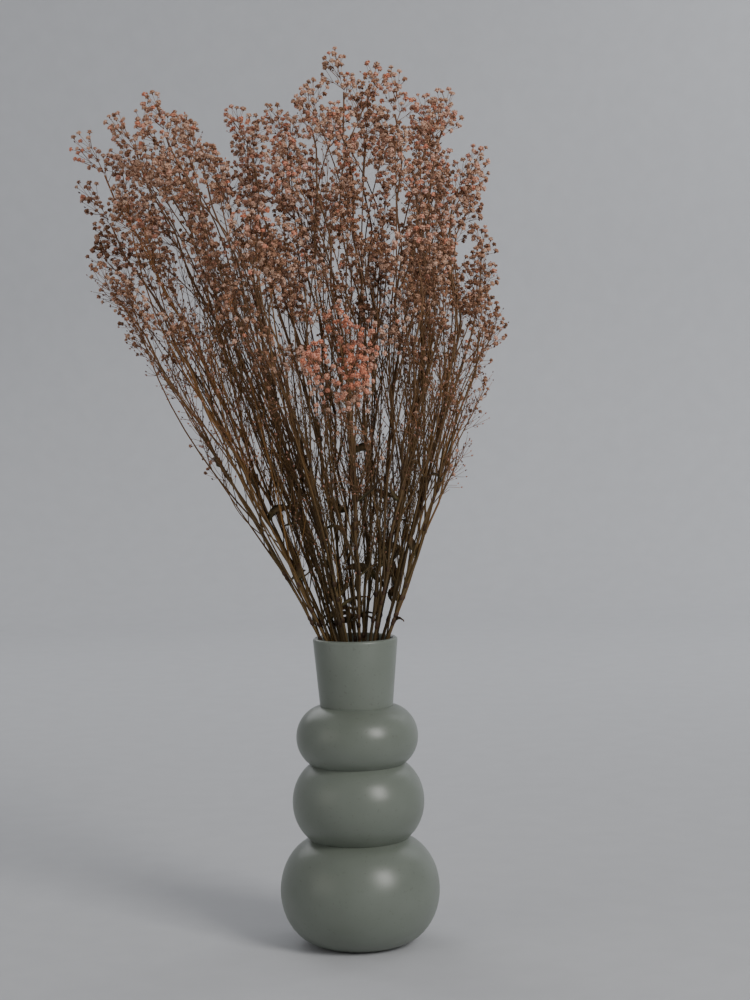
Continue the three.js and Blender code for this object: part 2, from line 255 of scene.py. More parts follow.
# %% How the bunch opens
SPREAD = 62.0
LEAN, CURL = 0.044, 0.0002
WAIST_DROP = 35.0
FOOT_WIDENING, FOOT_TURN = 0.25, math.radians(50)
CROWN_LENGTH = 46.0
STEM_FRACTIONS = np.array([0.19, 0.42, 0.7, 1.0])
FOOT = FLOOR + 0.3 - VASE_HEIGHT
TIPS = {  # where the tip of each spray stands
    "spray_left_outer": (-210, 10, 654),
    "spray_left_peak": (-152, -15, 684),
    "spray_left_back": (-188, 58, 676),
    "spray_left_shoulder": (-122, -62, 654),
    "spray_left_middle": (-212, 48, 618),
    "spray_left_low": (-198, -8, 550),
    "spray_left_low_front": (-152, -62, 518),
    "spray_left_far_back": (-160, 108, 644),
    "spray_dip_left": (-88, 22, 676),
    "spray_dip_back": (-118, 100, 654),
    "spray_centre_left": (-58, 62, 682),
    "spray_front_left": (-80, -92, 580),
    "spray_front_centre": (-6, -98, 514),
    "spray_front_high": (-30, -56, 676),
    "spray_top": (-6, 6, 716),
    "spray_top_back": (10, 98, 702),
    "spray_top_right": (42, -38, 692),
    "spray_right_peak": (82, 26, 686),
    "spray_right_outer": (116, -8, 636),
    "spray_right_back": (78, 92, 650),
    "spray_right_front": (62, -84, 574),
    "spray_right_middle": (106, 66, 572),
    "spray_right_low": (114, -44, 522),
    "spray_right_lowest": (98, 8, 448),
}


def opening(height):
    """Size of the bunch: 1 + h / spread above the mouth, easing to a waist below it, then wider
    again to the feet, where it is also turned."""
    depth = (-WAIST_DROP - height) / (VASE_HEIGHT - FLOOR - WAIST_DROP)
    above = 1 + height / SPREAD
    easing = above + height**2 / (2 * SPREAD * WAIST_DROP)
    below = (1 - WAIST_DROP / (2 * SPREAD)) * (1 + FOOT_WIDENING * depth)
    size = np.where(height >= 0, above, np.where(height >= -WAIST_DROP, easing, below))
    return size, np.where(height >= -WAIST_DROP, 0.0, FOOT_TURN * depth)


def drift(height):
    """The middle of the bunch drifts left: -lean h - curl h^2."""
    return -LEAN * np.maximum(height, -WAIST_DROP) - CURL * np.maximum(height, 0.0) ** 2


def stem_point(stem, height):
    """The stem's place in the mouth, turned, opened and drifted."""
    height = np.asarray(height, float)
    size, turned = opening(height)
    x, y = stem["mouth"]
    return np.stack([drift(height) + size * (x * np.cos(turned) - y * np.sin(turned)),
                     size * (x * np.sin(turned) + y * np.cos(turned)), VASE_HEIGHT + height], -1)


def make_stem(tip):
    """A stem from its tip: its place in the mouth is the tip's, drawn back by the opening."""
    rise = tip[2] - VASE_HEIGHT
    size = float(opening(np.float64(rise))[0])
    stem = {"mouth": ((tip[0] - float(drift(rise))) / size, tip[1] / size), "rise": rise,
            "bare": rise - CROWN_LENGTH}
    stem["heights"] = np.concatenate([[FOOT, -WAIST_DROP, 0.0], STEM_FRACTIONS * stem["bare"]])
    stem["points"] = stem_point(stem, stem["heights"])
    stem["path"] = np.vstack([stem["points"], stem_point(stem, rise)])
    return stem


stems = [make_stem(tip) for tip in TIPS.values()]
axis_starts = np.concatenate([stem["path"][:-1] for stem in stems])
axis_ends = np.concatenate([stem["path"][1:] for stem in stems])
print("stems:", len(stems))

# %% [markdown]
# A shoot must stay out of its neighbours' space. The test is the distance from its points to every
# stem. A shoot that comes too near is eased in towards its parent, and tried again.

# %% Room for a shoot
OUTLINE_RADIUS, OUTLINE_WIDEST, OUTLINE_RISE = 31.0, 250.0, 228.0
CELL_MARGIN = 0.5
FLORET_RADIUS, FLORET_PITCH, FLORET_SWING = 5.6, 9.0, 7.0
SWING_TURN = math.radians(130)
NECK_SWING, BETWEEN_SWING = 0.3, 0.4
ROOT_RADIUS, SHOOT_RADIUS, TWIG_RADIUS, STEM_TIP_RADIUS = 0.35, 0.8, 0.6, 1.0
SHOOT_BEND = 0.25
EASE_FACTOR, EASE_STEPS = 0.82, 5


def distances(points, starts, ends):
    """From each point to each straight length: to the nearest place between the length's ends."""
    span = ends - starts
    share = ((points[:, None] - starts) * span).sum(-1) / (span**2).sum(-1)
    nearest = starts + np.clip(share, 0, 1)[..., None] * span
    return np.linalg.norm(points[:, None] - nearest, axis=-1)


def all_clear(own, points, radii):
    """True if balls on a shoot keep inside the bunch's outline and in their own stem's space."""
    height = points[:, 2] - VASE_HEIGHT
    size = opening(height)[0]
    above = np.maximum(0, height + radii - OUTLINE_WIDEST) / OUTLINE_RISE
    limit = OUTLINE_RADIUS * np.sqrt(np.maximum(0, 1 - above**2))
    if (np.hypot(points[:, 0] - drift(height), points[:, 1]) / size > limit).any():
        return False
    away = distances(points, axis_starts, axis_ends).reshape(len(points), len(stems), -1).min(-1)
    others = np.delete(away, own, axis=1).min(1)
    return bool((others - away[:, own] >= 2 * (radii + CELL_MARGIN)).all())


def cluster_rings(length, florets, radius, neck):
    """Rows of (along, radius, swing, turn): root, neck, then florets that swing round the shoot
    by 130 degrees each, with a neck between them, and the tip."""
    first = length - FLORET_PITCH * (florets - 1) - radius / 2
    rings = [(0, ROOT_RADIUS, 0, 0), (first - radius, neck, NECK_SWING, 0)]
    for floret in range(florets):
        along, turned = first + FLORET_PITCH * floret, SWING_TURN * floret
        if floret:
            rings.append((along - FLORET_PITCH / 2, neck, BETWEEN_SWING, turned - SWING_TURN / 2))
        rings.append((along, radius, 1, turned))
    rings.append((length + radius / 2, 0, 1, rings[-1][3]))
    return np.array(rings, float)


def axis_at(shoot, along):
    """The shoot's own axis: it leaves its parent at an angle, and turns back as it grows."""
    along = np.asarray(along, float)[:, None]
    outward = along * math.sin(shoot["angle"]) * (1 - SHOOT_BEND * along / shoot["length"])
    return shoot["root"] + along * math.cos(shoot["angle"]) * shoot["along"] + outward * shoot["out"]


def ring_points(shoot, rings):
    """The rings' middles: the axis, and the swing round it."""
    swing = FLORET_SWING * rings[:, 2:3] * math.sqrt(shoot["ease"])
    round_it = np.cos(rings[:, 3:]) * shoot["out"] + np.sin(rings[:, 3:]) * shoot["sideways"]
    return axis_at(shoot, rings[:, 0]) + swing * round_it


def grown(own, plan, rings, turned):
    """Eases the shoot in until it is clear, or gives None."""
    across = unit(np.cross([0.0, 1.0, 0.0], plan["along"]))
    over = np.cross(plan["along"], across)
    out = across * math.cos(turned) + over * math.sin(turned)
    for step in range(EASE_STEPS):
        ease = EASE_FACTOR**step
        shoot = {**plan, "ease": ease, "angle": plan["angle"] * ease, "out": out, "rings": rings,
                 "sideways": np.cross(plan["along"], out), "length": rings[-1, 0]}
        shoot["points"] = ring_points(shoot, rings)
        if all_clear(own, shoot["points"][1:], rings[1:, 1]):
            return shoot
    return None


print("straight lengths of stem to keep clear of:", len(axis_starts))

# %% [markdown]
# Of all the sides and lengths that fit, the shoot takes the one whose flowers are furthest from
# the flowers already there. That single choice gives the even, airy cloud of a real bunch.

# %% Choose the best shoot
LENGTH_SHARES = (1.0, 0.78, 0.58)
SIDE_TRIES = 8
TOUCH_COST = 12
print("tries for each shoot:", len(LENGTH_SHARES) * SIDE_TRIES)


def floret_points(shoot):
    """Middles of the rings that are florets."""
    return shoot["points"][shoot["rings"][:, 1] > FLORET_RADIUS / 2]


def touches(one, other):
    """How many florets of either shoot lie on the other."""
    near = 0
    for florets, path in ((floret_points(one), other["points"]), (floret_points(other), one["points"])):
        near += int((distances(florets, path[:-1], path[1:]).min(1) < FLORET_RADIUS).sum())
    return near


def best_grown(own, plan, reach, shoots, taken):
    """The shoot with the most room, out of every length and side that is clear."""
    best, most = None, -np.inf
    for share in LENGTH_SHARES:
        rings = cluster_rings(reach * share, plan["florets"], plan["size"], plan["neck"])
        for side in range(SIDE_TRIES):
            shoot = grown(own, plan, rings, plan["turn"] + 2 * np.pi * side / SIDE_TRIES)
            if shoot is None:
                continue
            shoot["middle"] = floret_points(shoot).mean(0)
            room = np.linalg.norm(np.array(taken) - shoot["middle"], axis=1).min()
            room -= TOUCH_COST * sum(touches(shoot, other) for other in shoots)
            if room > most:
                best, most = shoot, room
    if best:
        taken.append(best["middle"])
    return best


# %% [markdown]
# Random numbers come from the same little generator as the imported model's: the next number is the
# last one times a constant plus a constant, and only its lowest 32 bits are kept.

# %% Grow every spray's skeleton
BUNCH_SEED = 8
FIRST_SHOOT, SHOOT_STEP = 0.53, 0.108
SHOOT_COUNT, SHORT_COUNT, TWIG_COUNT = 5, 3, 2
SHORT_RISE, LONGEST_SHOOT, SHOOT_BASE = 230.0, 125.0, 46.0
SHOOT_ANGLES, ANGLE_EXTRAS = (24.0, 44.0), (0, 6)
HEIGHT_SHIFTS, REACH_SHARES, SIZE_SHARES = (-0.025, 0.025), (0.36, 0.5), (0.9, 1.1)
TWIG_PLACES, TWIG_ANGLES, TWIG_LENGTHS = (0.35, 0.75), (44, 60), (38, 48)
CROWN_FLORETS, SHOOT_FLORETS, TWIG_FLORETS = 3, 5, 4


def draws(seed):
    """A seeded draw from 0 to 1."""
    state = [seed]

    def draw():
        """The next number: the last one times a constant plus a constant, in 32 bits, as a share."""
        state[0] = (state[0] * 1664525 + 1013904223) % 4294967296
        return state[0] / 4294967296

    return draw


def between(ends, share):
    """A value between two ends."""
    return ends[0] + (ends[1] - ends[0]) * share


def grow_crown(stem):
    """The florets at the stem's own tip."""
    rings = cluster_rings(CROWN_LENGTH, CROWN_FLORETS, FLORET_RADIUS, STEM_TIP_RADIUS)
    points = stem_point(stem, stem["bare"] + rings[:, 0])
    points[:, 0] += FLORET_SWING * rings[:, 2] * np.cos(rings[:, 3])
    points[:, 1] += FLORET_SWING * rings[:, 2] * np.sin(rings[:, 3])
    bare = np.zeros((len(stem["points"]), 4))
    return {"kind": "crown", "crown": rings, "rings": np.vstack([bare, rings[1:]]),
            "points": np.vstack([stem["points"], points[1:]])}


def on_stem(stem, height):
    """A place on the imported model's straight stem lengths, and the direction there."""
    above = max(1, int(np.searchsorted(stem["heights"], height)))
    start, end = stem["points"][above - 1], stem["points"][above]
    low_end, high_end = stem["heights"][above - 1], stem["heights"][above]
    return start + (end - start) * (height - low_end) / (high_end - low_end), unit(end - start)


def grow_spray(own, seed, taken):
    """The crown, then side shoots up the stem, with a twig on each of the lowest."""
    stem, draw = stems[own], draws(seed)
    shoots = [grow_crown(stem)]
    for index in range(SHOOT_COUNT if stem["rise"] > SHORT_RISE else SHORT_COUNT):
        shift = between(HEIGHT_SHIFTS, draw())
        height = stem["bare"] * (FIRST_SHOOT + SHOOT_STEP * index + shift)
        opened = between(SHOOT_ANGLES, index / (SHOOT_COUNT - 1))
        root, along = on_stem(stem, height)
        plan = {"kind": "shoot", "root": root, "along": along, "height": height,
                "angle": math.radians(opened + between(ANGLE_EXTRAS, draw())),
                "turn": 2 * np.pi * draw(),
                "florets": SHOOT_FLORETS, "neck": SHOOT_RADIUS}
        reach = SHOOT_BASE + (stem["rise"] - height) * between(REACH_SHARES, draw())
        plan["size"] = FLORET_RADIUS * between(SIZE_SHARES, draw())
        shoot = best_grown(own, plan, min(LONGEST_SHOOT, reach), shoots, taken)
        place, angle, turned, length, size = (draw() for _ in range(5))
        if shoot is None:
            continue
        shoots.append(shoot)
        if index >= TWIG_COUNT:
            continue
        root, neck = shoot["points"][:2]
        place = between(TWIG_PLACES, place)
        plan = {"kind": "twig", "root": root + (neck - root) * place, "along": unit(neck - root),
                "parent": shoot, "place": place, "angle": math.radians(between(TWIG_ANGLES, angle)),
                "turn": 2 * np.pi * turned, "florets": TWIG_FLORETS, "neck": TWIG_RADIUS,
                "size": FLORET_RADIUS * between(SIZE_SHARES, size)}
        twig = best_grown(own, plan, between(TWIG_LENGTHS, length), shoots, taken)
        if twig:
            shoots.append(twig)
    return shoots


taken = [stem["path"][-1] for stem in stems]
skeletons = [grow_spray(own, BUNCH_SEED + own, taken) for own in range(len(stems))]
print("shoots:", sum(len(shoots) for shoots in skeletons),
      "clusters:", sum(len(floret_points(s)) for shoots in skeletons for s in shoots))

# %% [markdown]
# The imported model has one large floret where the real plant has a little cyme: a node on the
# shoot, three rays, and a dozen pedicels that each end in a floret or a bud. The cyme's florets
# stand on a spiral over a ball, which spaces them evenly, and a little jitter hides the spiral.

# %% One cyme
CYME_SIZE, CYME_RAYS = 12, 3
CYME_RADIUS = 9.0
CYME_STALK = 13.0
GOLDEN_TURN = np.pi * (3 - math.sqrt(5))
CYME_CAP = math.cos(math.radians(128))
step = (np.arange(CYME_SIZE) + 0.5) / CYME_SIZE
cyme_z = 1 - (1 - CYME_CAP) * step
cyme_turn = GOLDEN_TURN * np.arange(CYME_SIZE)
cyme_ball = np.stack([np.sqrt(1 - cyme_z**2) * np.cos(cyme_turn),
                      np.sqrt(1 - cyme_z**2) * np.sin(cyme_turn), cyme_z], 1)
cyme_ray = (cyme_turn % (2 * np.pi) // (2 * np.pi / CYME_RAYS)).astype(int)
print("florets on each ray:", np.bincount(cyme_ray))

# %% [markdown]
# A dried floret is a small ruffled ball: a green-brown calyx under crumpled petals that lie over
# one another. Each petal is a closed wedge of six faces, wide enough to touch the next, and a small
# crumpled heart fills the middle. That keeps the ball round from every side at five millimetres.
# Several different florets are made and shared out, because a bunch holds thousands of them.

# %% Florets and buds
WHORLS = [  # petals, tilt from the axis in degrees, length, width
    (4, 84, 2.35, 3.1),
    (3, 44, 2.3, 2.9),
]
PETAL_TILT_ERROR, PETAL_TURN_ERROR = 0.12, 0.14
PETAL_LENGTHS, RUFFLES = (0.88, 1.1), (0.85, 1.15)
HEART = [(0, -1.1), (1.35, -0.1), (1.15, 1.35), (0, 2.2)]  # radius and height of each ring
CALYX = [(0, -2.3), (0.95, -1.0), (0, 0.0)]
BUD = [(0, -1.1), (0.72, -0.2), (0, 1.2)]
# The heart sits low on the map's v, where the petals' material paints it darker as shade.
HEART_MAP, CALYX_MAP = (0.4, 0.9), (0.02, 0.12)
FLORET_KINDS = 6
TONE_WIDTH = 0.006
rng = np.random.default_rng(21)


def petals(tilt, turned, length, width):
    """Closed wedges of five points: base, left, tip, right, and a back point under the middle.
    A petal leaves the axis at its tilt, and its broad middle and tip stand on the floret's ball."""
    def at(share, tilted, aside):
        """A share of the length out at a tilt, turned round the axis and moved aside."""
        r, z = length * share * np.sin(tilted), length * share * np.cos(tilted)
        return np.stack([r * np.cos(turned) - aside * np.sin(turned),
                         r * np.sin(turned) + aside * np.cos(turned), z], -1)

    points = np.stack([
        at(0.45, tilt + 0.75, 0 * width), at(0.8, tilt + 0.1, width / 2),
        at(1.0, tilt - 0.42, 0 * width), at(0.8, tilt + 0.1, -width / 2),
        at(1.08, tilt + 0.16, 0 * width)], 1)
    one = np.array([[0, 1, 4], [1, 2, 4], [2, 3, 4], [3, 0, 4], [0, 2, 1], [0, 3, 2]])
    faces = (one + 5 * np.arange(len(tilt))[:, None, None]).reshape(-1, 3)
    # v runs from the petal's base to its tip; the petals' material paints shade darker at low v.
    uv = np.array([[0, 0.3], [-1, 0.8], [0, 0.97], [1, 0.8], [0, 0.62]])
    return points.reshape(-1, 3), [faces], np.tile(uv, (len(tilt), 1))


def spindle(rings, sides, v):
    """A closed body of rings of (radius, height) between two points, for a calyx or a bud."""
    angle = 2 * np.pi * np.arange(sides) / sides
    body = [[0, 0, rings[0][1]]]
    for radius, height in rings[1:-1]:
        x, y = radius * np.cos(angle), radius * np.sin(angle)
        body += list(np.stack([x, y, 0 * angle + height], 1))
    body.append([0, 0, rings[-1][1]])
    index = 1 + np.arange((len(rings) - 2) * sides).reshape(-1, sides)
    after = np.roll(index, -1, axis=1)
    faces = [np.stack([0 * index[0], after[0], index[0]], 1),
             np.stack([0 * index[0] + len(body) - 1, index[-1], after[-1]], 1)]
    if len(index) > 1:
        faces.append(np.stack([index[:-1], after[:-1], after[1:], index[1:]], -1).reshape(-1, 4))
    uv = np.stack([np.resize([-1.0, 0.4, 1.0, -0.4, 0.7], len(body)),
                   np.linspace(v[0], v[1], len(body))], 1)
    return np.array(body), faces, uv


def make_floret():
    """A calyx, a crumpled heart and two whorls of petals, each petal with its own small errors."""
    tilt = np.concatenate([np.full(n, math.radians(t)) for n, t, _, _ in WHORLS])
    turned = np.concatenate([2 * np.pi * (np.arange(n) + 0.4 * k) / n
                             for k, (n, _, _, _) in enumerate(WHORLS)])
    length = np.concatenate([np.full(n, size) for n, _, size, _ in WHORLS])
    width = np.concatenate([np.full(n, size) for n, _, _, size in WHORLS])
    count = len(tilt)
    ruffled = petals(tilt + rng.normal(0, PETAL_TILT_ERROR, count),
                     turned + rng.normal(0, PETAL_TURN_ERROR, count),
                     length * rng.uniform(*PETAL_LENGTHS, count),
                     width * rng.uniform(*RUFFLES, count))
    heart = spindle(HEART, 5, HEART_MAP)
    heart[0][1:-1] *= rng.uniform(*RUFFLES, (len(heart[0]) - 2, 1))
    return merge([ruffled, heart, spindle(CALYX, 4, CALYX_MAP)])


floret_kinds = [make_floret() for _ in range(FLORET_KINDS)]
floret_points_of = np.stack([kind[0] for kind in floret_kinds])
floret_faces, floret_uv = floret_kinds[0][1], floret_kinds[0][2]
bud_points, bud_faces, bud_uv = spindle(BUD, 4, CALYX_MAP)
print("faces of a floret:", sum(len(group) for group in floret_faces))

# %% [markdown]
# The same small shape is wanted thousands of times. Each copy gets a frame of three directions, and
# one array product turns, sizes and places them all.


# %% Copies of a small shape
def spun(axis, spin):
    """Three directions for each axis: cos s across + sin s over, the one square to it, and axis."""
    across, over = crossways(axis)
    first = np.cos(spin)[..., None] * across + np.sin(spin)[..., None] * over
    return np.stack([first, np.cross(axis, first), axis], -1)


def copies(local, faces, uv, place, axis, spin, size, tone):
    """Point = place + size (x first + y second + z axis), in the directions spun round the axis."""
    turned = spun(axis, spin)
    points = place[:, None] + size[:, None, None] * np.einsum("nij,nkj->nki", turned, local)
    start = np.arange(len(place)) * local.shape[1]
    placed = [(group + start[:, None, None]).reshape(-1, group.shape[1]) for group in faces]
    map_places = np.empty((len(place), len(uv), 2))
    map_places[..., 0] = tone[:, None] + TONE_WIDTH * uv[:, 0]
    map_places[..., 1] = uv[:, 1]
    return points.reshape(-1, 3), placed, map_places.reshape(-1, 2)


print("floret kinds to copy:", len(floret_points_of))


# %% [markdown]
# Real stems are never quite straight, and their shoots leave them lower and more steeply than the
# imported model's straight rods, in narrow forks. Each stem gets a gentle bend to and fro. Each shoot
# is a quadratic curve, because such a curve leaves its fork and meets its flowers without a kink.

# %% Paths of stems and shoots
STEM_STEPS, SHOOT_STEPS, TIP_STEPS = 60, 9, 6
STEM_RADII = (1.6, 0.7)
SHOOT_RADII = {"shoot": (0.75, 0.3), "twig": (0.5, 0.26)}
LOWEST_FORK, FORK_DROPS, FORK_BEND = 12.0, (60.0, 210.0), 0.5
LAST_STALK, SHORTEST_TIP = 0.8, 2.0
WOBBLE, WOBBLE_LENGTHS, WOBBLE_FULL, WOBBLE_SHIFT = 2.8, (74.0, 118.0), 130.0, 2.4
WAIST_HEIGHT, WAIST_SPAN, WAIST_PULL = 580.0, 54.0, 26.0
WAIST_FROM, WAIST_WIDTH = 40.0, 75.0


def gathered(points):
    """The waist of the right-hand sprays: x is drawn in by up to 26 mm round one height, with
    a bell curve of z, and nothing near the middle of the bunch."""
    x, z = points[..., 0], points[..., 2]
    share = np.clip((x - WAIST_FROM) / WAIST_WIDTH, 0, 1)
    bell = np.exp(-(((z - WAIST_HEIGHT) / WAIST_SPAN) ** 2))
    moved = points.copy()
    moved[..., 0] -= WAIST_PULL * bell * share * share * (3 - 2 * share)
    return moved


def trunk_point(own, height):
    """The stem's place, bent to and fro: a triangle wave asin(sin) of the height across the stem
    in x and in y, which is nothing in the vase and full 130 mm above the mouth."""
    height = np.asarray(height, float)
    point = stem_point(stems[own], height)
    strength = WOBBLE * np.clip(height / WOBBLE_FULL, 0, 1)
    for axis, length in enumerate(WOBBLE_LENGTHS):
        wave = np.arcsin(np.sin(2 * np.pi * height / length + WOBBLE_SHIFT * own + axis)) * 2 / np.pi
        point[..., axis] += strength * wave
    return gathered(point)


def bend(start, control, end, steps):
    """A quadratic curve: (1-t)^2 start + 2t(1-t) control + t^2 end."""
    t = np.linspace(0, 1, steps)[:, None]
    return (1 - t) ** 2 * start + 2 * t * (1 - t) * control + t**2 * end


def route(shoot, own, drop):
    """The shoot's path: from its fork in a gentle bend to its neck, then on through its cymes."""
    neck, last = shoot["rings"][1, 0], shoot["rings"][-2, 0] - CYME_STALK * LAST_STALK
    beyond = axis_at(shoot, np.linspace(neck, max(last, neck + SHORTEST_TIP), TIP_STEPS + 1))
    if shoot["kind"] == "twig":
        parent = shoot["parent"]["route"]
        start = parent[int(round(shoot["place"] * (SHOOT_STEPS - 1)))]
    else:
        shoot["fork"] = max(LOWEST_FORK, shoot["height"] - drop)
        start = trunk_point(own, shoot["fork"])
    reach = np.linalg.norm(beyond[0] - start)
    control = beyond[0] - unit(beyond[1] - beyond[0]) * reach * FORK_BEND
    curve = np.vstack([bend(start, control, beyond[0], SHOOT_STEPS), beyond[1:]])
    return np.vstack([curve[:1], gathered(curve[1:])])


def cymes_of(shoot, own):
    """Middle and node of each cyme: the node is on the shoot's axis, a stalk's length before."""
    middles = gathered(floret_points(shoot))
    if shoot["kind"] == "crown":
        rings = shoot["crown"][shoot["crown"][:, 1] > FLORET_RADIUS / 2]
        return middles, trunk_point(own, stems[own]["bare"] + rings[:, 0] - CYME_STALK)
    rings = shoot["rings"][shoot["rings"][:, 1] > FLORET_RADIUS / 2]
    return middles, gathered(axis_at(shoot, rings[:, 0] - CYME_STALK))


print("first stem at the mouth and 200 mm above:", trunk_point(0, [0.0, 200.0]).round(1).tolist())

# %% [markdown]
# Below the flowers the real bunch is a thicket: every stem forks in narrow Vs, the forks fork
# again, and the finest ends carry dark buds that never opened. Three generations of branches are
# grown, each from points of the one before, and every one tries a few sides and keeps the one
# that stays furthest inside the bunch. All branches of a generation are one array.

# %% The thicket
GENERATIONS = [  # branches from each parent, lengths, angles in degrees, radii, steps, where they start
    (5, (70, 160), (5, 20), (0.9, 0.32), 8, None),
    (6, (26, 60), (16, 36), (0.42, 0.22), 5, (0.2, 0.98)),
    (4, (10, 24), (22, 48), (0.24, 0.15), 3, (0.35, 1.0)),
]
THICKET_HEIGHTS = (-22.0, 0.6)  # millimetres above the mouth, and a share of the bare stem
THICKET_SIDES = 6
THICKET_LIMIT = 21.0
DIRECTION_STEP = 4


def staggered(ends, draws):
    """One value in each of n equal parts of a range: a + (b - a) (k + draw) / n."""
    count = draws.shape[-1]
    return ends[0] + (ends[1] - ends[0]) * (np.arange(count) + draws) / count


def places_on(paths, shares):
    """The places at shares of each path, and the directions there."""
    place = shares * (paths.shape[1] - 1)
    low_step = np.minimum(place.astype(int), paths.shape[1] - 2)
    row = np.arange(len(paths))[:, None]
    start, end = paths[row, low_step], paths[row, low_step + 1]
    roots = start + (end - start) * (place - low_step)[..., None]
    return roots.reshape(-1, 3), unit(end - start).reshape(-1, 3)


def branches(roots, alongs, generation):
    """Paths root + L t (cos a along + sin a out (1 - t/4)), with out on the side that keeps the
    end nearest inside the bunch out of a few tries."""
    _, lengths, angles, _, steps, _ = generation
    count = len(roots)
    length = rng.uniform(*lengths, count)
    angle = np.radians(rng.uniform(*angles, count))
    across, over = crossways(alongs)
    turned = rng.uniform(0, 2 * np.pi, (THICKET_SIDES, count))[..., None]
    outs = np.cos(turned) * across + np.sin(turned) * over
    lift = length[:, None] * np.cos(angle)[:, None] * alongs
    ends = roots + lift + length[:, None] * np.sin(angle)[:, None] * outs
    height = ends[..., 2] - VASE_HEIGHT
    radius = np.hypot(ends[..., 0] - drift(height), ends[..., 1]) / opening(height)[0]
    side = np.argmin(np.maximum(radius, THICKET_LIMIT), axis=0)
    out = outs[side, np.arange(count)]
    t = np.linspace(0, 1, steps + 1)[None, :, None]
    return (roots[:, None] + t * lift[:, None]
            + t * (1 - t / 4) * (length * np.sin(angle))[:, None, None] * out[:, None])


def grow_thicket(own):
    """The heights of the first forks, and the paths of every generation."""
    span = (THICKET_HEIGHTS[0], THICKET_HEIGHTS[1] * stems[own]["bare"])
    heights = staggered(span, rng.uniform(0, 1, GENERATIONS[0][0]))
    roots = trunk_point(own, heights)
    alongs = unit(trunk_point(own, heights + DIRECTION_STEP) - roots)
    paths = [branches(roots, alongs, GENERATIONS[0])]
    for generation in GENERATIONS[1:]:
        draws_made = rng.uniform(0, 1, (len(paths[-1]), generation[0]))
        roots, alongs = places_on(paths[-1], staggered(generation[5], draws_made))
        paths.append(branches(roots, alongs, generation))
    return heights, paths


print("thicket twigs on each stem:", np.cumprod([row[0] for row in GENERATIONS]).sum())

# %% [markdown]
# Such a bunch opens from the top: the highest cymes are in flower and the lowest are dark buds. The
# colours run from rust and terracotta to dusty pink and straw, paler with height, and one cluster
# low at the front is bright coral. Each is a smooth field over the whole bunch, so that neighbours
# agree, and a little chance is added for every floret.

# %% Where florets open, and how pale they are
BLOOM_HEIGHTS, BUD_SHARES = (408.0, 590.0), (0.97, 0.08)
BLOOM_LATER, LATER_FROM, LATER_WIDTH = 30.0, 40, 80
CORAL, CORAL_SPAN, CORAL_EDGE, CORAL_DEPTH = (-6.0, 478.0), (36.0, 42.0), 1.6, 25
CORAL_TONE, CORAL_OPEN = 0.78, 0.9
LOW_TONE, PALER_BY, PALER_FROM, PALER_SPAN = 0.22, 0.27, 480, 160
PATCH_TONE, TONE_CHANCE, TONE_ENDS = 0.14, 0.17, (0.03, 0.97)


def coral_share(places):
    """How far a place is in the bright cluster at the front: near one point across and up, and at
    the front of the bunch."""
    away = np.hypot((places[..., 0] - CORAL[0]) / CORAL_SPAN[0],
                    (places[..., 2] - CORAL[1]) / CORAL_SPAN[1])
    forward = (-places[..., 1] - CORAL_DEPTH) / CORAL_DEPTH
    return np.clip(CORAL_EDGE - away, 0, 1) * np.clip(forward, 0, 1)


def tone_of(places):
    """Where a floret lies in the range of colours: paler with height, in soft patches, which are
    sin x sin z sin y in waves 145 to 195 mm long, and coral in the bright cluster."""
    x, y, z = places.T
    patches = np.sin(x / 23 + 1.3) * np.sin(z / 29) * np.sin(y / 31 + 0.6)
    light = PALER_BY * np.clip((z - PALER_FROM) / PALER_SPAN, 0, 1) + PATCH_TONE * patches
    tone = LOW_TONE + light + rng.normal(0, TONE_CHANCE, len(places))
    return np.clip(tone + (CORAL_TONE - tone) * coral_share(places), *TONE_ENDS)


def closed_share(places):
    """The share of buds that never opened: a smooth step 3t^2 - 2t^3 of the height, high at the
    bottom and low at the top, later on the left, and low in the bright cluster at the front."""
    later = BLOOM_LATER * np.clip((-places[..., 0] - LATER_FROM) / LATER_WIDTH, 0, 1)
    height = places[..., 2] - BLOOM_HEIGHTS[0] - later
    risen = np.clip(height / (BLOOM_HEIGHTS[1] - BLOOM_HEIGHTS[0]), 0, 1)
    risen = np.maximum(risen, CORAL_OPEN * coral_share(places))
    return BUD_SHARES[0] + (BUD_SHARES[1] - BUD_SHARES[0]) * risen * risen * (3 - 2 * risen)


print("share of buds at 450, 520 and 600 mm:",
      closed_share(np.array([[0, 0, 450.0], [0, 0, 520.0], [0, 0, 600.0]])).round(2))

# %% [markdown]
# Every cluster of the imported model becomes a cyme. The ball of florets is turned its own way, and
# each floret stands a little nearer or further, so that no two cymes look alike. Three rays leave
# the node, and each ends half way to the middle of its own florets.

# %% Spread each cluster into a cyme
FLORET_REACH, CYME_REACH = (0.7, 1.15), (0.85, 1.15)
BALL_JITTER, RAY_SHARE = 0.18, 0.5


def set_out(own):
    """The middles and nodes of one spray's cymes, and the paths and radii of its shoots."""
    middles, nodes, paths, radii = [], [], [], []
    for shoot in skeletons[own]:
        middle, node = cymes_of(shoot, own)
        middles.append(middle)
        nodes.append(node)
        if shoot["kind"] != "crown":
            shoot["route"] = route(shoot, own, rng.uniform(*FORK_DROPS))
            paths.append(shoot["route"])
            radii.append(np.linspace(*SHOOT_RADII[shoot["kind"]], len(shoot["route"])))
    return np.vstack(middles), np.vstack(nodes), np.stack(paths), np.stack(radii)


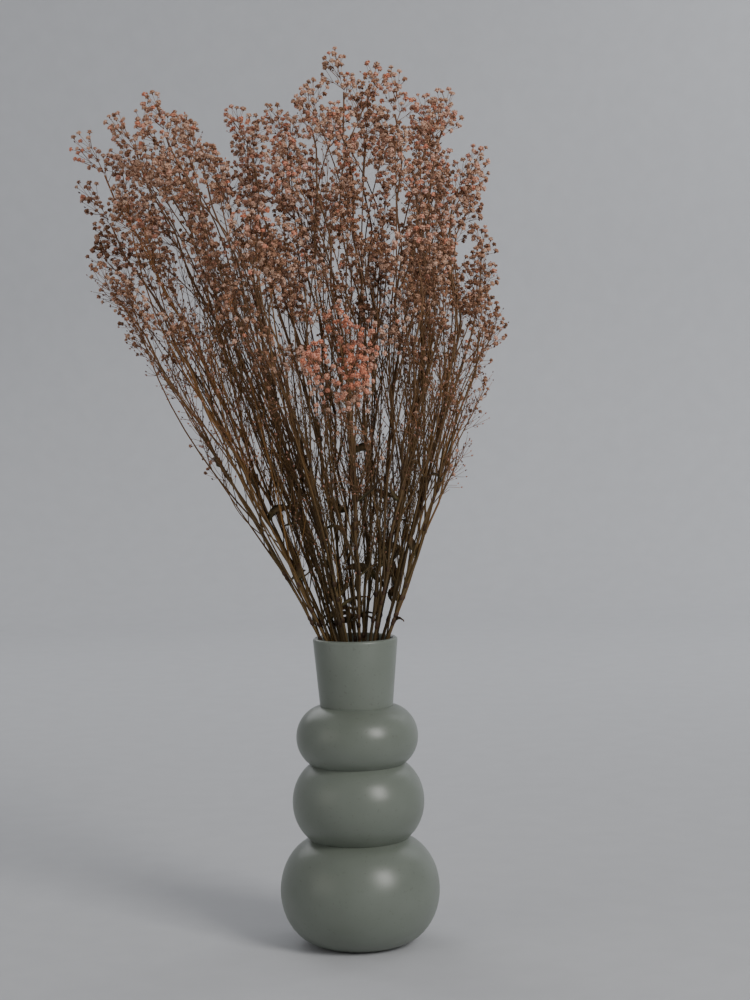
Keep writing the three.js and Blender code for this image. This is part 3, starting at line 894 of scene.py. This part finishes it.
def spread(middles, nodes):
    """Florets at middle + reach (the ball, jittered and turned), and the ends of the rays at
    node + half of the way to the mean of the ray's florets."""
    count = len(middles)
    turned = spun(unit(middles - nodes), rng.uniform(0, 2 * np.pi, count))
    reach = (CYME_RADIUS * rng.uniform(*FLORET_REACH, (count, CYME_SIZE))
             * rng.uniform(*CYME_REACH, (count, 1)))
    ball = unit(cyme_ball + rng.normal(0, BALL_JITTER, (count, CYME_SIZE, 3)))
    places = middles[:, None] + reach[..., None] * np.einsum("nij,nkj->nki", turned, ball)
    means = np.stack([places[:, cyme_ray == ray].mean(1) for ray in range(CYME_RAYS)], 1)
    return places, nodes[:, None] + RAY_SHARE * (means - nodes[:, None])


print("clusters to spread:", sum(len(floret_points(s)) for shoots in skeletons for s in shoots))

# %% [markdown]
# A floret faces away from its ray's end and a little up. Some never open and stay as buds, and where most
# stayed shut a good part has dropped off, as happens when a bunch is dried and handled. All this is
# drawn for a whole spray at once, as arrays with one value for each place.

# %% Open, shut or gone
FACING_UP, FACING_CHANCE = 0.35, 0.25
GONE_SHARE = 0.62
BUD_SIZES, FLORET_SIZES = (0.75, 1.25), (0.7, 1.06)
OPEN_SIZE, SHUT_LOSS = 1.04, 0.22
CYME_TONE_CHANCE = 0.08
BUD_TONES = (0.05, 0.95)


def choose_florets(places, starts):
    """For each place: the way it faces, its size and tone, and if it is open, shut or gone."""
    facing = unit(unit(places - starts) + FACING_UP * UP + rng.normal(0, FACING_CHANCE, places.shape))
    closed = closed_share(places)
    is_bud = rng.uniform(0, 1, closed.shape) < closed
    is_gone = is_bud & (rng.uniform(0, 1, closed.shape) < GONE_SHARE * closed)
    sizes = np.where(is_bud, rng.uniform(*BUD_SIZES, closed.shape),
                     rng.uniform(*FLORET_SIZES, closed.shape) * (OPEN_SIZE - SHUT_LOSS * closed))
    tones = tone_of(places.reshape(-1, 3)).reshape(closed.shape)
    tones = np.clip(tones + rng.normal(0, CYME_TONE_CHANCE, (len(places), 1)), *TONE_ENDS)
    return {"places": places, "facing": facing, "sizes": sizes, "tones": tones,
            "open": ~is_bud, "shut": is_bud & ~is_gone, "kept": ~is_gone}


def open_florets(florets):
    """A copy of one of the floret kinds at each open place, spun at random."""
    opened = florets["open"]
    kinds = rng.integers(0, FLORET_KINDS, opened.shape)
    spins = rng.uniform(0, 2 * np.pi, opened.shape)
    return copies(floret_points_of[kinds[opened]], floret_faces, floret_uv,
                  florets["places"][opened], florets["facing"][opened], spins[opened],
                  florets["sizes"][opened], florets["tones"][opened])


def shut_buds(florets, twigs):
    """A bud at each shut place, and one at the tip of each of the finest twigs."""
    shut, tips = florets["shut"], twigs[:, -1]
    seats = np.concatenate([florets["places"][shut], tips])
    aims = np.concatenate([florets["facing"][shut], unit(tips - twigs[:, -2])])
    count = len(seats)
    return copies(np.repeat(bud_points[None], count, 0), bud_faces, bud_uv, seats, aims,
                  rng.uniform(0, 6, count), rng.uniform(*BUD_SIZES, count),
                  rng.uniform(*BUD_TONES, count))


print("triangles of a bud:", sum(len(group) for group in bud_faces))

# %% [markdown]
# The wood of a spray is one family of tapered tubes: the stem, its shoots, the thicket, and the
# rays and pedicels. Each has only as many sides as its width can show. The stem swells at every
# fork, which is how plants of this family are known. On the map, u is the tone of the bark, and v
# is the height, with places of their own for joints below and pedicels above.

# %% The wood of one spray
STEM_SIDES, SHOOT_SIDES, TWIG_SIDES = 7, 5, 3
BARKS, SHOOT_BARKS, TWIG_BARKS, BARK_ENDS = (0.1, 0.9), (-0.08, 0.08), (-0.15, 0.15), (0.05, 0.95)
STEM_TOP = 0.4  # the stem ends at this share of its crown
RAY_RADII, PEDICEL_RADII, PEDICEL_MAP = (0.28, 0.22), (0.2, 0.16), [0.9, 0.95]
JOINT = [(0, -3.4), (1.02, -2.0), (1.42, 0.2), (1.05, 2.4), (0, 3.6)]  # share of the stem, height
JOINT_MAP, JOINT_STEP = (0.005, 0.035), 3
CALYX_DEPTH = 1.6  # how far below a floret's middle its pedicel ends


def map_height(height):
    """The map's v: 0.3 at the vase's mouth, and 1 more for every metre above it."""
    return height / 1000 + 0.3


def knuckles(places, alongs, radii, bark):
    """A swollen joint round the stem at each fork: a spindle a little wider than the stem."""
    local, faces, uv = spindle(JOINT, STEM_SIDES, JOINT_MAP)
    scaled = np.repeat(local[None], len(places), 0)
    scaled[..., :2] *= radii[:, None, None]
    return copies(scaled, faces, uv, places, alongs, 0 * radii, 0 * radii + 1, 0 * radii + bark)


def stem_wood(own, paths, radii, thicket, forks):
    """The stem, its shoots, every generation of the thicket, and the joints."""
    heights = np.linspace(FOOT, stems[own]["bare"] + CROWN_LENGTH * STEM_TOP, STEM_STEPS)
    thick = np.linspace(*STEM_RADII, STEM_STEPS)
    bark = rng.uniform(*BARKS)
    wood = [tubes(trunk_point(own, heights)[None], thick[None], STEM_SIDES, np.array([bark]),
                  map_height(heights[None])),
            tubes(paths, radii, SHOOT_SIDES, bark + rng.uniform(*SHOOT_BARKS, len(paths)),
                  map_height(paths[..., 2] - VASE_HEIGHT))]
    for generation, twigs in zip(GENERATIONS, thicket):
        taper = np.tile(np.linspace(*generation[3], twigs.shape[1]), (len(twigs), 1))
        tones = np.clip(bark + rng.uniform(*TWIG_BARKS, len(twigs)), *BARK_ENDS)
        wood.append(tubes(twigs, taper, TWIG_SIDES, tones, map_height(twigs[..., 2] - VASE_HEIGHT)))
    knots = trunk_point(own, forks)
    alongs = unit(trunk_point(own, forks + JOINT_STEP) - knots)
    return wood + [knuckles(knots, alongs, np.interp(forks, heights, thick), bark)]


def straws(ends, radii):
    """Straight tubes between pairs of points, for rays and pedicels."""
    count = len(ends)
    return tubes(ends, np.tile(radii, (count, 1)), TWIG_SIDES, rng.uniform(*BARKS, count),
                 np.tile(PEDICEL_MAP, (count, 1)))


print("joint's widest share of the stem:", max(share for share, _ in JOINT))

# %% [markdown]
# Each spray is now put together in order. It is kept as two shapes, because blossom and wood have
# different finishes.


# %% Dress every spray
def dress(own):
    """The florets and buds of one spray as one shape, and its wood as another."""
    middles, nodes, paths, radii = set_out(own)
    places, joints = spread(middles, nodes)
    starts = joints[:, cyme_ray]
    florets = choose_florets(places, starts)
    blossom = [open_florets(florets)]
    fork_heights, thicket = grow_thicket(own)
    blossom.append(shut_buds(florets, thicket[-1]))
    forks = np.concatenate([fork_heights, [s["fork"] for s in skeletons[own] if "fork" in s]])
    wood = stem_wood(own, paths, radii, thicket, forks)
    rays = np.stack([np.repeat(nodes[:, None], CYME_RAYS, 1), joints], 2).reshape(-1, 2, 3)
    wood.append(straws(rays, RAY_RADII))
    calyxes = places - CALYX_DEPTH * florets["sizes"][..., None] * florets["facing"]
    wood.append(straws(np.stack([starts, calyxes], 2)[florets["kept"]], PEDICEL_RADII))
    return merge(blossom), merge(wood)


dressed = [dress(own) for own in range(len(stems))]
print("sprays dressed:", len(dressed))

# %% [markdown]
# Near the mouth a few leaves stay on the stems. They dried to narrow curled blades, dark and
# twisted. A blade is a thin folded section carried along a bent path, turned as it goes.

# %% One kind of leaf
LEAF_THICKNESS, LEAF_FOLD = 0.22, 0.45


def blades(paths, widths, twist):
    """Closed blades: each ring is left edge, top, right edge, bottom. The edges are folded up by a
    share of the width, and the ring is turned by the twist."""
    count, rings, _ = paths.shape
    along = unit(np.gradient(paths, axis=1))
    side, top, _ = np.moveaxis(spun(along, twist), -1, 0)
    w = widths[..., None]
    ring = np.stack([-w * side + LEAF_FOLD * w * top, LEAF_THICKNESS * top,
                     w * side + LEAF_FOLD * w * top, -LEAF_THICKNESS * top], 2)
    points = paths[:, :, None] + ring
    index = np.arange(count * rings * 4).reshape(count, rings, 4)
    after = np.roll(index, 1, axis=2)
    walls = np.stack([index[:, :-1], after[:, :-1], after[:, 1:], index[:, 1:]], -1)
    ends = np.concatenate([index[:, 0], index[:, -1, ::-1]])
    uv = np.empty((count, rings, 4, 2))
    uv[..., 0] = (np.arange(count) + 0.5)[:, None, None] / count + np.array([-0.4, 0, 0.4, 0]) / count
    uv[..., 1] = np.linspace(0.05, 0.95, rings)[None, :, None]
    return points.reshape(-1, 3), [walls.reshape(-1, 4), ends], uv.reshape(-1, 2)


print("a leaf is", 2 * LEAF_THICKNESS, "mm thick")

# %% [markdown]
# Most leaves sit low and point inwards, so that few reach over the rim. The path of a leaf is a
# walk of equal steps whose pitch changes on the way: out by the sum of cos pitch, up by the sum of
# sin pitch. Its width is a sine of the way along, which narrows it at both ends.

# %% The leaves near the mouth
LEAF_COUNT, LEAF_STEPS = 60, 9
LEAF_LENGTHS, LEAF_WIDTHS = (14.0, 32.0), (1.7, 4.0)
LEAF_HEIGHTS, LEAF_LOWER = (8.0, 150.0), 1.4
LEAF_TURNS, LEAF_RISES, LEAF_CURLS, LEAF_TWISTS = (-2.1, 2.1), (15, 80), (-1.9, 1.6), (-1.6, 1.6)
leaf_rng = np.random.default_rng(5)
leaf_stem = np.arange(LEAF_COUNT) % len(stems)
leaf_height = LEAF_HEIGHTS[0] + (LEAF_HEIGHTS[1] - LEAF_HEIGHTS[0]) * (
    leaf_rng.uniform(0, 1, LEAF_COUNT) ** LEAF_LOWER)
leaf_root = np.stack([trunk_point(own, height) for own, height in zip(leaf_stem, leaf_height)])
leaf_length = leaf_rng.uniform(*LEAF_LENGTHS, LEAF_COUNT)
leaf_turn = (np.arctan2(leaf_root[:, 1], leaf_root[:, 0] - drift(leaf_height)) + np.pi
             + leaf_rng.uniform(*LEAF_TURNS, LEAF_COUNT))
leaf_rise = np.radians(leaf_rng.uniform(*LEAF_RISES, LEAF_COUNT))
curl_by = leaf_rng.uniform(*LEAF_CURLS, LEAF_COUNT)
t = np.linspace(0, 1, LEAF_STEPS)
pitch = leaf_rise[:, None] + curl_by[:, None] * t**1.5
stepped = (leaf_length / (LEAF_STEPS - 1))[:, None]
out_by = np.cumsum(np.cos(pitch) * stepped, axis=1) - np.cos(pitch[:, :1]) * stepped
up_by = np.cumsum(np.sin(pitch) * stepped, axis=1) - np.sin(pitch[:, :1]) * stepped
leaf_path = leaf_root[:, None] + np.stack([out_by * np.cos(leaf_turn)[:, None],
                                           out_by * np.sin(leaf_turn)[:, None], up_by], -1)
swell = np.sin(np.pi * (0.08 + 0.9 * t)) ** 0.8
leaf_width = leaf_rng.uniform(*LEAF_WIDTHS, (LEAF_COUNT, 1)) * swell
leaf_twist = (leaf_rng.uniform(0, 6, (LEAF_COUNT, 1))
              + leaf_rng.uniform(*LEAF_TWISTS, (LEAF_COUNT, 1)) * t)
leaf_shape = blades(leaf_path, leaf_width, leaf_twist)
print("leaves:", LEAF_COUNT, "up to", round(leaf_height.max()), "mm above the mouth")

# %% [markdown]
# A material in Blender is a small graph of nodes that ends in a shader. One helper makes the graph
# and adds nodes to it. The others make a colour ramp, turn screen colours into light, and mix
# colours, so that a finish below reads as a short list of colours.


# %% Helpers for materials
def new_material(name):
    """A material, its shader, and a helper that adds a node and links or sets its inputs."""
    material = bpy.data.materials.new(name)
    material.use_nodes = True
    tree = material.node_tree

    def add(kind, **values):
        """A new node, with each named value set on it, linked to it, or put in its input."""
        node = tree.nodes.new(kind)
        for key, value in values.items():
            if hasattr(node, key):
                setattr(node, key, value)
            elif hasattr(value, "is_output"):
                tree.links.new(value, node.inputs[key])
            else:
                node.inputs[key].default_value = value
        return node

    print("material:", name)
    return material, tree.nodes["Principled BSDF"], add


def ramp(add, factor, stops):
    """A colour ramp through (place, (r, g, b)) stops, in linear light."""
    node = add("ShaderNodeValToRGB", Fac=factor)
    elements = node.color_ramp.elements
    while len(elements) < len(stops):
        elements.new(0.5)
    for element, (place, colour) in zip(elements, stops):
        element.position = place
        element.color = (*colour, 1)
    return node.outputs["Color"]


def srgb(red, green, blue):
    """Linear light from screen values of 0 to 255."""
    share = np.array([red, green, blue]) / 255
    return tuple(np.where(share <= 0.04045, share / 12.92, ((share + 0.055) / 1.055) ** 2.4))


def mix(add, factor, one, other, blend="MIX"):
    """(1 - f) one + f other, from linked colours and a number or a linked factor."""
    node = add("ShaderNodeMix", data_type="RGBA", blend_type=blend)
    links = node.id_data.links
    links.new(one, node.inputs[6])
    links.new(other, node.inputs[7])
    if isinstance(factor, float):
        node.inputs[0].default_value = factor
    else:
        links.new(factor, node.inputs[0])
    return node.outputs[2]


def shaded(add, colour, shade):
    """Colour times shade."""
    return mix(add, 1.0, colour, shade, "MULTIPLY")


# %% [markdown]
# The petals' colour depends only on the floret's tone and on the way from calyx to rim, which are
# the two numbers of its UV map. Two colour ramps read them. The second is painted shade: each
# petal darkens towards the calyx, as the shade deep inside a floret. The petals are paper-dry, so
# they are rough and hardly shine. What is the same all over is set on the shader's own sockets.


# %% The petals' material
def coat(shader, colour, roughness, specular):
    """Links the colour, and sets roughness and shine on the shader's own sockets."""
    shader.id_data.links.new(colour, shader.inputs["Base Color"])
    shader.inputs["Roughness"].default_value = roughness
    shader.inputs["Specular IOR Level"].default_value = specular


def read_map(add):
    """The piece's own UV map, and its two numbers u and v."""
    uv = add("ShaderNodeUVMap", uv_map="OFBake").outputs["UV"]
    split = add("ShaderNodeSeparateXYZ", Vector=uv)
    return uv, split.outputs["X"], split.outputs["Y"]


petal_material, shader, add = new_material("dried petals")
_, tone, from_calyx = read_map(add)
tone_colour = ramp(add, tone, [
    (0.0, srgb(136, 100, 74)),
    (0.25, srgb(186, 139, 112)),
    (0.45, srgb(218, 181, 157)),
    (0.6, srgb(228, 184, 162)),
    (0.8, srgb(232, 148, 116)),
    (1.0, srgb(238, 202, 190)),
])
# Painted shade: darker towards the calyx, where the middle of a floret lies in shade.
painted_centre_shade = ramp(add, from_calyx, [
    (0.2, (0.4, 0.37, 0.34)), (0.62, (0.74, 0.72, 0.7)), (0.95, (1.0, 1.0, 1.0))])
petal_colour = shaded(add, tone_colour, painted_centre_shade)
bud_colour = ramp(add, tone, [
    (0.1, srgb(84, 60, 46)), (0.5, srgb(124, 90, 70)), (0.9, srgb(186, 134, 114))])
is_petal = ramp(add, from_calyx, [(0.15, (0, 0, 0)), (0.2, (1, 1, 1))])
coat(shader, mix(add, is_petal, bud_colour, petal_colour), 0.82, 0.25)

# %% [markdown]
# The stems are olive brown below and redden upwards to hair-thin, red-brown pedicels. Their fine
# streaks run along the stem, so the noise is squeezed across the map and stretched up it.


# %% The stems' material
def streaked(add, uv, scale, detail):
    """Noise on the map, repeated scale[0] times across it and scale[1] times up it."""
    stretched = add("ShaderNodeMapping", Vector=uv)
    stretched.inputs["Scale"].default_value = scale
    noise = add("ShaderNodeTexNoise", Vector=stretched.outputs["Vector"], Scale=1.0, Detail=detail)
    return noise.outputs["Fac"]


wood_material, shader, add = new_material("dried stems")
uv, bark_tone, up_stem = read_map(add)
height_colour = ramp(add, up_stem, [
    (0.02, srgb(66, 46, 32)), (0.08, srgb(76, 65, 42)), (0.36, srgb(90, 74, 47)),
    (0.5, srgb(118, 92, 64)), (0.72, srgb(130, 98, 76)), (0.95, srgb(146, 108, 86))])
bark_shade = ramp(add, bark_tone, [
    (0.1, (0.62, 0.6, 0.58)), (0.5, (0.95, 0.9, 0.85)), (0.72, (1.15, 1.12, 1.0)),
    (0.9, (1.7, 1.38, 0.92))])
streak_shade = ramp(add, streaked(add, uv, (140, 24, 1), 3.0), [
    (0.3, (0.55, 0.55, 0.55)), (0.7, (1.2, 1.15, 1.05))])
coat(shader, shaded(add, shaded(add, height_colour, bark_shade), streak_shade), 0.62, 0.35)

# %% [markdown]
# The leaves' colour runs from olive at the stalk to brown at the tip, with dark blotches of their
# own, read from the same kind of map.

# %% The leaves' material
leaf_material, shader, add = new_material("dried leaves")
uv, _, up_leaf = read_map(add)
leaf_colour = ramp(add, up_leaf, [
    (0.05, srgb(80, 76, 46)), (0.55, srgb(84, 68, 44)), (0.95, srgb(96, 66, 42))])
leaf_shade = ramp(add, streaked(add, uv, (160, 5, 1), 4.0), [
    (0.3, (0.45, 0.43, 0.4)), (0.7, (1.25, 1.2, 1.1))])
coat(shader, shaded(add, leaf_colour, leaf_shade), 0.7, 0.3)

# %% [markdown]
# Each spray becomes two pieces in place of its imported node. Petals keep flat faces, which look
# crumpled, and the round stems are smooth.

# %% Make the sprays
faces_made = 0
for name, (blossom, wood) in zip(TIPS, dressed):
    faces_made += make_piece(name + "_blossom", blossom, petal_material, [name], False)[1]
    faces_made += make_piece(name + "_stems", wood, wood_material, [name])[1]
faces_made += make_piece("leaves_dried", leaf_shape, leaf_material)[1]
print("triangles in the sprays and leaves:", faces_made)

# %% [markdown]
# The vase wears a satin sage glaze. Real glaze is never one colour: it is a touch thinner and
# warmer in places, and holds fine specks of iron. Soft noise at two sizes gives that.

# %% The glaze
glaze, shader, add = new_material("sage glaze")
place = add("ShaderNodeTexCoord").outputs["Object"]
clouds = add("ShaderNodeTexNoise", Vector=place, Scale=14.0, Detail=3.0, Roughness=0.55)
grains = add("ShaderNodeTexNoise", Vector=place, Scale=420.0, Detail=2.0)
cloud_colour = ramp(add, clouds.outputs["Fac"], [
    (0.3, srgb(107, 114, 104)), (0.7, srgb(120, 127, 118))])
speck = ramp(add, grains.outputs["Fac"], [(0.27, (0.86, 0.85, 0.83)), (0.36, (1, 1, 1))])
sheen = add("ShaderNodeMapRange", Value=clouds.outputs["Fac"])
sheen.inputs["To Min"].default_value = 0.29
sheen.inputs["To Max"].default_value = 0.39
bump = add("ShaderNodeBump", Height=grains.outputs["Fac"], Strength=0.08, Distance=0.0004)
links = glaze.node_tree.links
links.new(shaded(add, cloud_colour, speck), shader.inputs["Base Color"])
links.new(sheen.outputs["Result"], shader.inputs["Roughness"])
links.new(bump.outputs["Normal"], shader.inputs["Normal"])

# %% [markdown]
# The vase is smooth clay, but its creases are sharp turns. An angle tells Blender which edges stay
# sharp when the rest is shaded smooth.

# %% Make the vase
CREASE_ANGLE = math.radians(32)
vase, vase_faces = make_piece("vase_glazed", vase_shape, glaze, ["vase"])
vase.data.set_sharp_from_angle(angle=CREASE_ANGLE)
print("triangles in the vase:", vase_faces)

# %% [markdown]
# A studio sweep is a floor that curves up into a backdrop, so that no line shows behind the object.
# One bent sheet would do for one view. This one is turned into a wide bowl, so that the backdrop is
# there from every side.

# %% The sweep
FLOOR_RADIUS, SWEEP_RADIUS, SWEEP_TOP, SWEEP_STEPS, BEND_STEPS = 2.3, 0.7, 2.3, 96, 20
FLOOR_RINGS = [[0.35, 0.0], [1.2, 0.0]]
rise = np.linspace(0, np.pi / 2, BEND_STEPS)
sweep_line = np.vstack([
    FLOOR_RINGS,
    np.stack([FLOOR_RADIUS + SWEEP_RADIUS * np.sin(rise), SWEEP_RADIUS * (1 - np.cos(rise))], 1),
    [[FLOOR_RADIUS + SWEEP_RADIUS, SWEEP_TOP]],
])
around = 2 * np.pi * np.arange(SWEEP_STEPS) / SWEEP_STEPS
bowl = np.empty((len(sweep_line), SWEEP_STEPS, 3))
bowl[..., 0] = sweep_line[:, :1] * np.sin(around)
bowl[..., 1] = -sweep_line[:, :1] * np.cos(around)
bowl[..., 2] = sweep_line[:, 1:]
bowl_index = np.arange(bowl.size // 3).reshape(len(sweep_line), SWEEP_STEPS)
bowl_after = np.roll(bowl_index, -1, axis=1)
strips = np.stack([bowl_index[:-1], bowl_index[1:], bowl_after[1:], bowl_after[:-1]], -1)
middle_fan = np.stack([np.full(SWEEP_STEPS, bowl_index.size), bowl_index[0], bowl_after[0]], 1)
sweep_mesh = bpy.data.meshes.new("studio_sweep")
sweep_mesh.from_pydata(np.vstack([bowl.reshape(-1, 3), [[0, 0, 0]]]).tolist(), [],
                       strips.reshape(-1, 4).tolist() + middle_fan.tolist())
sweep_mesh.polygons.foreach_set("use_smooth", np.full(len(sweep_mesh.polygons), True))
sweep = bpy.data.objects.new("studio_sweep", sweep_mesh)
bpy.context.scene.collection.objects.link(sweep)
paper, shader, add = new_material("studio paper")
fibre = add("ShaderNodeTexNoise", Vector=add("ShaderNodeTexCoord").outputs["Object"], Scale=30.0)
paper_colour = ramp(add, fibre.outputs["Fac"], [
    (0.3, srgb(200, 201, 204)), (0.7, srgb(203, 204, 207))])
coat(shader, paper_colour, 0.9, 0.1)
sweep_mesh.materials.append(paper)
print("sweep's outer radius:", FLOOR_RADIUS + SWEEP_RADIUS, "m")

# %% [markdown]
# A large light makes soft shadows, as a window does. One stands in front on the right, a weak one
# fills the left, one lights the back of the bunch and one the backdrop, and the sky lifts the
# shadows. The photograph is quiet, so the light is soft and low.


# %% Lights
def area_light(name, place, target, size, power, colour):
    """A rectangular light at a place that looks at a target, all in metres and watts."""
    data = bpy.data.lights.new(name, "AREA")
    data.shape, data.size, data.size_y = "RECTANGLE", size[0], size[1]
    data.energy, data.color = power, colour
    light = bpy.data.objects.new(name, data)
    light.location = place
    light.rotation_euler = (Vector(target) - Vector(place)).to_track_quat("-Z", "Y").to_euler()
    bpy.context.scene.collection.objects.link(light)


area_light("window", (1.5, -1.7, 1.5), (0, 0, 0.4), (0.85, 1.15), 38, (1.0, 0.985, 0.96))
area_light("fill", (-2.0, -1.3, 1.0), (0, 0, 0.35), (1.6, 1.6), 6, (1.0, 0.96, 0.86))
area_light("back_fill", (-1.0, 1.9, 1.8), (0, 0, 0.4), (1.8, 1.6), 13, (0.97, 0.98, 1.0))
area_light("backdrop_wash", (1.7, 1.3, 1.9), (1.1, 3.0, 0.8), (1.3, 0.9), 22, (0.97, 0.985, 1.0))
SKY_COLOUR, SKY_STRENGTH = (0.5, 0.51, 0.53, 1), 0.52
world = bpy.data.worlds.new("studio")
world.use_nodes = True
sky = world.node_tree.nodes["Background"]
sky.inputs["Color"].default_value = SKY_COLOUR
sky.inputs["Strength"].default_value = SKY_STRENGTH
bpy.context.scene.world = world
print("lights:", len(bpy.data.lights))

# %% [markdown]
# The camera stands a long way back with a long lens, at a little over half the bunch's height. It
# looks down by 3.2 degrees and is rolled by about one degree, as the photograph is.

# %% The camera
FOCAL_PIXELS, FRAME_PIXELS, SENSOR = 2136, 1000, 36.0
CAMERA_PLACE = (0.0183, -1.721, 0.457)
LOOK_DOWN, ROLL = math.radians(3.2), math.radians(1.15)
camera_data = bpy.data.cameras.new("camera")
camera_data.lens = SENSOR * FOCAL_PIXELS / FRAME_PIXELS
camera_data.sensor_width = SENSOR
camera = bpy.data.objects.new("camera", camera_data)
camera.matrix_world = (Matrix.Translation(CAMERA_PLACE)
                       @ Matrix.Rotation(math.pi / 2 - LOOK_DOWN, 4, "X")
                       @ Matrix.Rotation(-ROLL, 4, "Z"))
bpy.context.scene.collection.objects.link(camera)
bpy.context.scene.camera = camera
print("lens:", round(camera_data.lens, 1), "mm")
